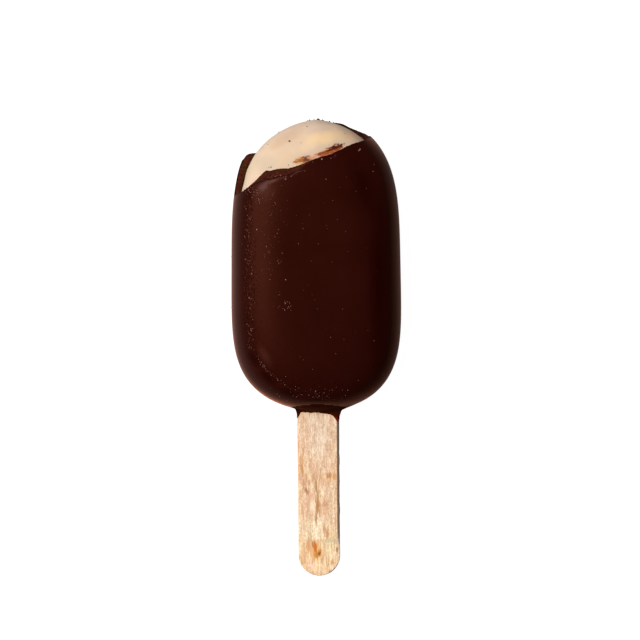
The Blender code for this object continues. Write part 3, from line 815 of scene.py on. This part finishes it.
# A dark line along the outer edge: painted shade.
snap_colour = tinted(snap, snap_colour, crack_reach, 0.2, 0.1, "#220804", soft=True)
snap.links.new(snap_colour, snap_surface.inputs["Base Color"])
snap_relief = add_node(snap, "ShaderNodeBump", {"Strength": 0.6, "Distance": 0.1 * MM},
                       {"Height": grains})
snap.links.new(snap_relief.outputs["Normal"], snap_surface.inputs["Normal"])

# The same couverture where it ran thin on to the stick: almost black, with red brown edges where
# the wood shows through it. It is a shaded copy of the couverture, with no specular and a faint
# sheen, so that the collar shows no light reflected from the stick: painted shade.
THIN_PATCH_SIZE = 1.6
THIN_DEPTH = 12.0
THIN_EDGES = (
    ((0.0, -39.6), (7.5, 2.2), 0.0, "#441906", 0.9),
    ((-5.0, -40.2), (0.9, 1.1), 0.0, "#7c1c10", 1.0),
    ((-3.9, -39.1), (0.9, 0.5), 30.0, "#4a1408", 0.8),
    ((4.9, -41.0), (0.8, 1.3), 10.0, "#861c0e", 1.0),
    ((4.0, -40.0), (1.0, 0.6), -30.0, "#5c1408", 0.9),
    ((0.8, -39.1), (2.4, 0.35), -4.0, "#3c1204", 0.8),
)

thin, thin_surface = new_finish(
    shell, "thin_couverture_shaded_copy",
    {"Roughness": 0.45, "Specular IOR Level": 0.0, "Sheen Weight": 0.06, "Sheen Roughness": 0.3,
     "Sheen Tint": srgb("#ff9a74")})
thin_place = add_node(thin, "ShaderNodeTexCoord").outputs["Object"]
thinness = add_node(thin, "ShaderNodeTexNoise",
                    {"Scale": 1.0 / THIN_PATCH_SIZE / MM, "Detail": 3.0},
                    {"Vector": thin_place}).outputs["Fac"]
thin_colour = tinted(thin, "#260801", thinness, 0.4, 0.65, "#300f03")
thin_colour = stained(thin, thin_colour, thin_place, thinness, THIN_EDGES, BAR_Z, THIN_DEPTH,
                      edge=(0.6, 0.7, -0.2))
thin.links.new(thin_colour, thin_surface.inputs["Base Color"])
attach(shell, "root")
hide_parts("chocolate_coating")


# Beads: tiny burst bubbles in the couverture, their rims coloured light as painted glints. They
# follow the shoulders, where the chocolate ran thin, with some over the face and the back.
BEAD_SEED = 11
SINGLE_BEADS = ((11.76, 29.91, 0.26), (11.45, 29.6, 0.2), (15.38, 25.96, 0.2), (15.1, 24.13, 0.2),
                (-2.66, 24.28, 0.2), (-8.94, 23.29, 0.26), (-7.64, 22.23, 0.2), (-0.55, 26.61, 0.2),
                (1.81, 27.38, 0.26), (4.16, 27.62, 0.17), (2.81, 22.14, 0.17), (10.62, 18.94, 0.15),
                (-15.33, 9.24, 0.22), (-17.44, 7.43, 0.24), (-18.48, 7.44, 0.18),
                (-7.87, -3.89, 0.2), (-8.19, -11.72, 0.18), (20.0, 19.12, 0.18),
                (-9.9, 23.2, 0.14), (-8.2, 22.9, 0.16), (-10.4, 23.0, 0.15), (-6.2, 23.0, 0.14))
BEAD_BANDS = (
    ((-17.4, -1.0), (1.2, 21.0), 0.0, 180, 0.05, 0.125),
    ((-15.6, 18.2), (1.0, 2.4), 28.0, 34, 0.08, 0.15),
    ((-11.6, 9.0), (2.6, 13.0), -6.0, 64, 0.055, 0.12),
    ((-0.8, -33.5), (9.5, 2.0), 0.0, 60, 0.06, 0.12),
    ((-15.0, -24.6), (0.4, 4.0), 34.0, 24, 0.05, 0.11),
    ((-10.2, -29.9), (0.5, 3.6), 52.0, 20, 0.05, 0.11),
    ((0.0, -2.0), (17.0, 30.0), 0.0, 60, 0.06, 0.11),
    ((-7.8, -10.6), (1.9, 1.4), 0.0, 17, 0.07, 0.14),
    ((-10.1, -7.4), (0.7, 0.7), 0.0, 8, 0.07, 0.12),
    ((-9.6, 0.9), (0.8, 0.5), 0.0, 7, 0.07, 0.12),
)
BEAD_UNEVEN = 0.15
BEAD_SUNK = 0.25
BAND_SPREAD = 0.55
BEAD_TO_CRACK = 0.3
LOWEST_BEAD = 1.0
HIDDEN_BEADS = 90
HIDDEN_SPAN = (-34.0, 24.0)
HIDDEN_SIZES = (0.07, 0.14)


def front_height(level, x, y):
    """Height of a form's face above a point of the plan."""
    return float(on_surface(level, y, math.pi / 2.0, x)[2])


def scattered(name, fineness, places, uneven, chance):
    """Lumps at places given with a radius, each turned and made uneven, joined to one piece."""
    bpy.ops.object.select_all(action="DESELECT")
    bpy.ops.mesh.primitive_ico_sphere_add(subdivisions=fineness, radius=1.0)
    lump = bpy.context.object
    copies = []
    for x, y, z, radius in places:
        copy = lump.copy()
        copy.data = lump.data.copy()
        copy.name = name
        bpy.context.collection.objects.link(copy)
        turn = chance.uniform(0.0, math.tau)
        stretch = 1.0 + chance.uniform(-uneven, uneven, 3)
        for point in copy.data.vertices:
            knob = 1.0 + uneven * chance.uniform(-1.0, 1.0)
            across = (point.co.x * math.cos(turn) - point.co.y * math.sin(turn)) * stretch[0] * knob
            along = (point.co.x * math.sin(turn) + point.co.y * math.cos(turn)) * stretch[1] * knob
            up = point.co.z * stretch[2] * knob
            point.co = ((x + across * radius) * MM, (y + along * radius + BAR_Y) * MM,
                        (z + up * radius + BAR_Z) * MM)
        copies.append(copy)
    bpy.data.objects.remove(lump)
    bpy.ops.object.select_all(action="DESELECT")
    for copy in copies:
        copy.select_set(True)
    bpy.context.view_layer.objects.active = copies[0]
    bpy.ops.object.join()
    bpy.ops.object.shade_smooth()
    return bpy.context.object


chance = np.random.default_rng(BEAD_SEED)
bead_places = []
for x, y, radius in SINGLE_BEADS:
    bead_places.append((x, y, front_height(shell_outside, x, y) - BEAD_SUNK * radius, radius))
for (x, y), (half_width, half_length), turn, count, least, most in BEAD_BANDS:
    lean = math.radians(turn)
    for _ in range(count):
        across = chance.normal(0.0, BAND_SPREAD) * half_width
        along = chance.uniform(-1.0, 1.0) * half_length
        bead_x = x + across * math.cos(lean) - along * math.sin(lean)
        bead_y = y + across * math.sin(lean) + along * math.cos(lean)
        radius = chance.uniform(least, most)
        height = front_height(shell_outside, bead_x, bead_y)
        edge_y = crack_line(bead_x, FRONT_BREAK, FLAKE_DEPTHS)
        if bead_y < edge_y - BEAD_TO_CRACK and height > LOWEST_BEAD:
            bead_places.append((bead_x, bead_y, height - BEAD_SUNK * radius, radius))
for _ in range(HIDDEN_BEADS):
    around = chance.uniform(math.pi, math.tau)
    along = chance.uniform(*HIDDEN_SPAN)
    radius = chance.uniform(*HIDDEN_SIZES)
    x, y, z = on_surface(shell_outside, along, around)
    bead_places.append((x, y, z, radius))
beads = scattered("painted_glint_beads", 1, bead_places, BEAD_UNEVEN, chance)

# Painted glint: a pinkish grey brown on the rim of a bubble, standing in for the light it catches.
GLINT_PATCH_SIZE = 1.5
glint, glint_surface = new_finish(
    beads, "painted_glint_chocolate", {"Roughness": 0.5, "Specular IOR Level": 0.2})
glint_place = add_node(glint, "ShaderNodeTexCoord").outputs["Object"]
glint_tone = add_node(glint, "ShaderNodeTexNoise",
                      {"Scale": 1.0 / GLINT_PATCH_SIZE / MM, "Detail": 2.0}, {"Vector": glint_place})
glint_colour = tinted(glint, "#54281e", glint_tone.outputs["Fac"], 0.4, 0.62, "#9a6c62")
glint.links.new(glint_colour, glint_surface.inputs["Base Color"])
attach(beads, "root")


# Crumbs: splinters of the shell that fell on the bared ice cream when it was cracked, most of
# them along its upper edge, pressed a little way in.
EDGE_CRUMBS = ((-9.51, 0.16), (-1.95, 0.15), (-1.4, 0.22), (-0.21, 0.2), (0.85, 0.33), (1.3, 0.18),
               (2.04, 0.23), (2.3, 0.16), (3.3, 0.14), (3.89, 0.23), (4.95, 0.2), (5.8, 0.2))
FACE_CRUMBS = ((-6.64, 32.41, 0.24), (-11.53, 25.6, 0.15), (-12.1, 25.5, 0.12), (-6.96, 26.1, 0.13),
               (-12.39, 31.81, 0.13), (-2.03, 36.29, 0.15), (-3.64, 31.87, 0.1), (3.67, 31.2, 0.1),
               (7.9, 34.3, 0.09))
CRUMB_UNEVEN = 0.3
EDGE_CRUMB_HEIGHTS = (-1.0, 1.8)
EDGE_CRUMB_LIFT = 0.35
FACE_CRUMB_SUNK = 0.2
EDGE_SEARCH = (30.0, BAR_TOP + 0.5, 0.02)
CRACK_MIDDLE = 0.5

edge_search = np.arange(*EDGE_SEARCH)
crumb_places = []
for x, radius in EDGE_CRUMBS:
    z = chance.uniform(*EDGE_CRUMB_HEIGHTS)
    edge_y = float(edge_search[ice_cream_level(x, edge_search, z) < 0.0].max())
    crumb_places.append((x, edge_y + EDGE_CRUMB_LIFT * radius, z, radius))
for x, y, radius in FACE_CRUMBS:
    height = front_height(ice_cream_level, x, y)
    crumb_places.append((x, y, height - FACE_CRUMB_SUNK * radius, radius))
crumbs = scattered("chocolate_crumbs", 2, crumb_places, CRUMB_UNEVEN, chance)
crumb_depth = crumbs.data.attributes.new("crack_depth", "FLOAT", "POINT")
crumb_depth.data.foreach_set("value", np.full(len(crumbs.data.vertices), CRACK_MIDDLE))
crumbs.data.materials.append(bpy.data.materials["snapped_couverture"])
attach(crumbs, "root")


# Photographer's light table: a sheet of opal acrylic, lit a little from below so that it stays
# white, under one big softbox from the left, with a camera looking straight down.
VIEW_CENTRE = (0.93, 7.33, 12.2)
CAMERA_LENS = 135.0
CAMERA_HEIGHT = 636.0
CAMERA_ROLL = -0.49
TABLE_SIZE = 3.0
TABLE_WHITE = 0.15
TABLE_GLOW = 0.98
SOFTBOX_SIZE = (0.35, 0.7)
SOFTBOX_POWER = 12.0
SOFTBOX_PLACE = (-0.5, 0.18, 0.9)
SOFTBOX_AIM = (0.0, 0.02, 0.0)

bpy.ops.object.select_all(action="DESELECT")
bpy.ops.object.camera_add(location=[c * MM for c in VIEW_CENTRE])
camera = bpy.context.object
camera.location.z += CAMERA_HEIGHT * MM
camera.rotation_euler = (0.0, 0.0, math.radians(CAMERA_ROLL))
camera.data.lens = CAMERA_LENS
bpy.context.scene.camera = camera
bpy.context.scene.view_settings.view_transform = "Standard"

bpy.ops.mesh.primitive_plane_add(size=TABLE_SIZE)
table = bpy.context.object
table.name = "light_table"
new_finish(
    table, "opal_acrylic_sheet",
    {"Base Color": (TABLE_WHITE, TABLE_WHITE, TABLE_WHITE, 1.0), "Roughness": 0.8,
     "Specular IOR Level": 0.0, "Emission Color": (1.0, 1.0, 1.0, 1.0),
     "Emission Strength": TABLE_GLOW})
table.visible_glossy = False
table.visible_diffuse = False

bpy.ops.object.light_add(type="AREA")
softbox = bpy.context.object
softbox.name = "softbox"
softbox.data.shape = "RECTANGLE"
softbox.data.size, softbox.data.size_y = SOFTBOX_SIZE
softbox.data.energy = SOFTBOX_POWER
softbox.location = SOFTBOX_PLACE
towards_bar = Vector(SOFTBOX_AIM) - Vector(SOFTBOX_PLACE)
softbox.rotation_euler = towards_bar.to_track_quat("-Z", "Y").to_euler()

# The room round the table: pale walls, dimmer high up and low down, and brightest towards a window
# beyond the bar's upper left and a lamp at its lower left.
WALL_HEIGHTS = ((0.3, 0.9, 1.0, 0.15), (-0.25, 0.05, 0.6, 1.0))
WALL_LIGHTS = (((-0.75, 0.66, 0.0), -0.85, 1.35), ((-0.8, -0.6, 0.0), 0.7, 0.8))
room = bpy.data.worlds.new("pale_room")
bpy.context.scene.world = room
room.use_nodes = True
room_tree = room.node_tree
room_tree.nodes.clear()
towards = add_node(room_tree, "ShaderNodeTexCoord")
height = add_node(room_tree, "ShaderNodeSeparateXYZ", links={"Vector": towards.outputs["Generated"]})
shades = [add_node(room_tree, "ShaderNodeMapRange",
                   {"From Min": low, "From Max": high, "To Min": at_low, "To Max": at_high,
                    "interpolation_type": "SMOOTHSTEP"}, {"Value": height.outputs["Z"]})
          for low, high, at_low, at_high in WALL_HEIGHTS]
glows = []
for direction, low, brightest in WALL_LIGHTS:
    facing = add_node(room_tree, "ShaderNodeVectorMath", {"operation": "DOT_PRODUCT", 1: direction},
                      {0: towards.outputs["Generated"]})
    glows.append(add_node(room_tree, "ShaderNodeMapRange",
                          {"From Min": low, "From Max": 1.0, "To Max": brightest},
                          {"Value": facing.outputs["Value"]}))
lights = add_node(room_tree, "ShaderNodeMath", {"operation": "ADD"},
                  {0: glows[0].outputs["Result"], 1: glows[1].outputs["Result"]})
walls = add_node(room_tree, "ShaderNodeMath", {"operation": "MULTIPLY"},
                 {0: shades[0].outputs["Result"], 1: shades[1].outputs["Result"]})
lit_walls = add_node(room_tree, "ShaderNodeMath", {"operation": "MULTIPLY"},
                     {0: walls.outputs["Value"], 1: lights.outputs["Value"]})
room_light = add_node(room_tree, "ShaderNodeBackground", links={"Strength": lit_walls.outputs["Value"]})
add_node(room_tree, "ShaderNodeOutputWorld", links={"Surface": room_light.outputs["Background"]})
